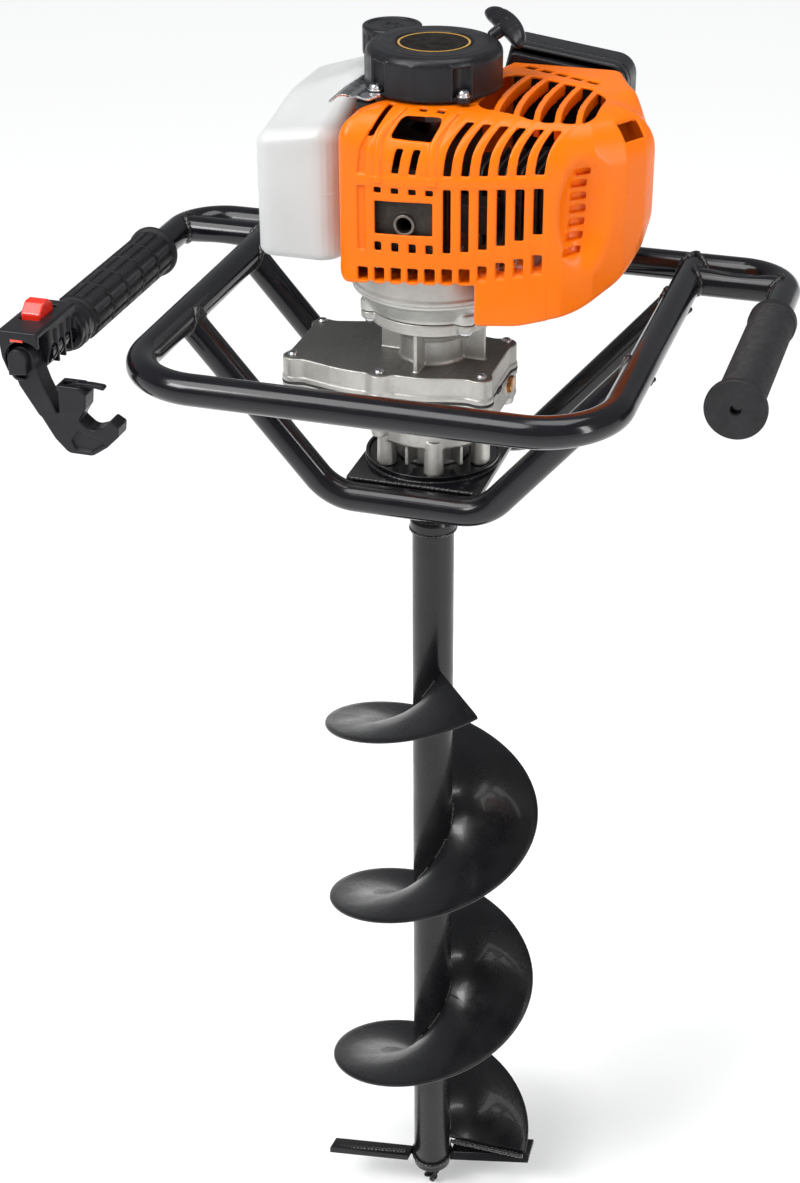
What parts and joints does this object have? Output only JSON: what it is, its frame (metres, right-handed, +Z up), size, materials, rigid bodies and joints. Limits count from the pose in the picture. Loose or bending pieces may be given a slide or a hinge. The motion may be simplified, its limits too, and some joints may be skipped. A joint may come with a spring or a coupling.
{
  "type": "petrol ice and earth auger",
  "caption": "Two-handed petrol auger: tube frame with grips, engine over a reduction gearbox, and a long screw bit with blades and a pilot point.",
  "frame": {"origin": "tip of the pilot point on the bit's axis, where it touches the ice", "axes": "+Z up along the bit's axis to the engine, -Y towards the front bar of the hoop, +X towards the engine's cylinder and the plain right grip"},
  "size_m": [0.5995, 0.3954, 1.2264],
  "materials": {
    "frame_paint": "gloss black",
    "bit_paint": "gloss black",
    "bright_steel": "ground",
    "gear_steel": "machined",
    "cast_alloy": "sand cast",
    "engine_alloy": "die cast",
    "dark_steel": "heat darkened",
    "brass": "plain",
    "orange_plastic": "gloss",
    "black_plastic": "satin",
    "red_plastic": "satin",
    "grip_rubber": "matt",
    "tank_plastic": "translucent white",
    "gasket_paper": "matt",
    "zinc": "bright plated"
  },
  "bodies": {
    "frame": {"handlebar_tube": "frame_paint", "hoop_tube": "frame_paint", "cradle_tube_front": "frame_paint", "cradle_tube_rear": "frame_paint", "gusset_left": "frame_paint", "gusset_right": "frame_paint", "base_plate": "frame_paint", "flange_ring": "frame_paint", "left_grip": "grip_rubber", "right_grip": "grip_rubber", "throttle_housing": "black_plastic", "gearbox_lower_case": "cast_alloy", "gearbox_gasket": "gasket_paper", "gearbox_upper_case": "cast_alloy", "oil_plug": "brass", "output_bearing_lower": "gear_steel", "output_bearing_upper": "gear_steel", "fan_housing": "engine_alloy", "crankcase_lower": "engine_alloy", "crankcase_upper": "engine_alloy", "crank_bearing_lower": "gear_steel", "crank_bearing_upper": "gear_steel", "cylinder": "engine_alloy", "spark_plug": "black_plastic", "muffler": "dark_steel", "carburetor": "engine_alloy", "air_filter_base": "black_plastic", "air_filter_cover": "black_plastic", "fuel_tank": "tank_plastic", "tank_bracket": "zinc", "engine_shroud": "orange_plastic", "starter_cover": "black_plastic"},
    "bit": {"bit_tube": "bit_paint", "output_shaft": "bright_steel", "output_gear": "gear_steel", "coupling_pin": "zinc", "flight_lower": "bit_paint", "flight_middle": "bit_paint", "flight_upper": "bit_paint", "blade_right": "bit_paint", "blade_left": "bit_paint", "pilot_point": "bit_paint"},
    "idler": {"idler_shaft": "gear_steel", "idler_gear": "gear_steel"},
    "clutch_drum": {"clutch_drum": "dark_steel", "input_pinion": "gear_steel"},
    "crank": {"crank_lower": "gear_steel", "crank_upper": "gear_steel", "clutch_rotor": "gear_steel", "flywheel": "engine_alloy"},
    "piston": {"piston": "engine_alloy", "connecting_rod": "gear_steel", "crankpin": "gear_steel"},
    "throttle_trigger": {"throttle_trigger": "black_plastic"},
    "trigger_latch": {"trigger_latch": "black_plastic"},
    "kill_switch": {"kill_switch": "red_plastic"},
    "starter_handle": {"starter_handle": "black_plastic"},
    "starter_pulley": {"starter_pulley": "black_plastic"},
    "fuel_cap": {"fuel_cap": "black_plastic"},
    "choke_lever": {"choke_lever": "black_plastic"}
  },
  "joints": [
    {"name": "output_spin", "type": "hinge", "parent": "frame", "child": "bit", "pos_m": [0, 0, 0.8], "axis": [0, 0, 1], "continuous": true},
    {"name": "idler_spin", "type": "hinge", "parent": "frame", "child": "idler", "pos_m": [-0.05, 0, 0.92], "axis": [0, 0, 1], "continuous": true},
    {"name": "drum_spin", "type": "hinge", "parent": "frame", "child": "clutch_drum", "pos_m": [0, 0, 0.97], "axis": [0, 0, 1], "continuous": true},
    {"name": "crank_spin", "type": "hinge", "parent": "frame", "child": "crank", "pos_m": [0, 0, 1.087], "axis": [0, 0, 1], "continuous": true},
    {"name": "piston_slide", "type": "slide", "parent": "frame", "child": "piston", "axis": [1, 0, 0], "range_m": [-0.03, 0]},
    {"name": "trigger_pull", "type": "hinge", "parent": "frame", "child": "throttle_trigger", "pos_m": [-0.282, -0.19, 0.985], "axis": [0, -1, 0], "range_deg": [0, 18], "stiffness_Nm_per_rad": 0.2},
    {"name": "latch_press", "type": "hinge", "parent": "throttle_trigger", "child": "trigger_latch", "pos_m": [-0.246, -0.1905, 0.9605], "axis": [0, -1, 0], "range_deg": [0, 12], "stiffness_Nm_per_rad": 0.02},
    {"name": "kill_slide", "type": "slide", "parent": "frame", "child": "kill_switch", "axis": [0, 1, 0], "range_m": [0, 0.006]},
    {"name": "starter_pull", "type": "slide", "parent": "frame", "child": "starter_handle", "axis": [0.7364, 0.4331, 0.5198], "range_m": [0, 0.03], "stiffness_N_per_m": 60},
    {"name": "pulley_spin", "type": "hinge", "parent": "frame", "child": "starter_pulley", "pos_m": [0, 0, 1.179], "axis": [0, 0, 1], "range_deg": [0, 70]},
    {"name": "cap_turn", "type": "hinge", "parent": "frame", "child": "fuel_cap", "pos_m": [-0.054, 0.062, 1.19], "axis": [0, 0, 1], "range_deg": [0, 270]},
    {"name": "choke_turn", "type": "hinge", "parent": "frame", "child": "choke_lever", "pos_m": [0.0985, 0.07, 1.095], "axis": [1, 0, 0], "range_deg": [0, 60]}
  ],
  "couplings": [
    {"joint": "idler_spin", "follows": "output_spin", "ratio": -6.1429},
    {"joint": "drum_spin", "follows": "output_spin", "ratio": 37.735},
    {"joint": "pulley_spin", "follows": "starter_pull", "rad_per_m": 40}
  ]
}
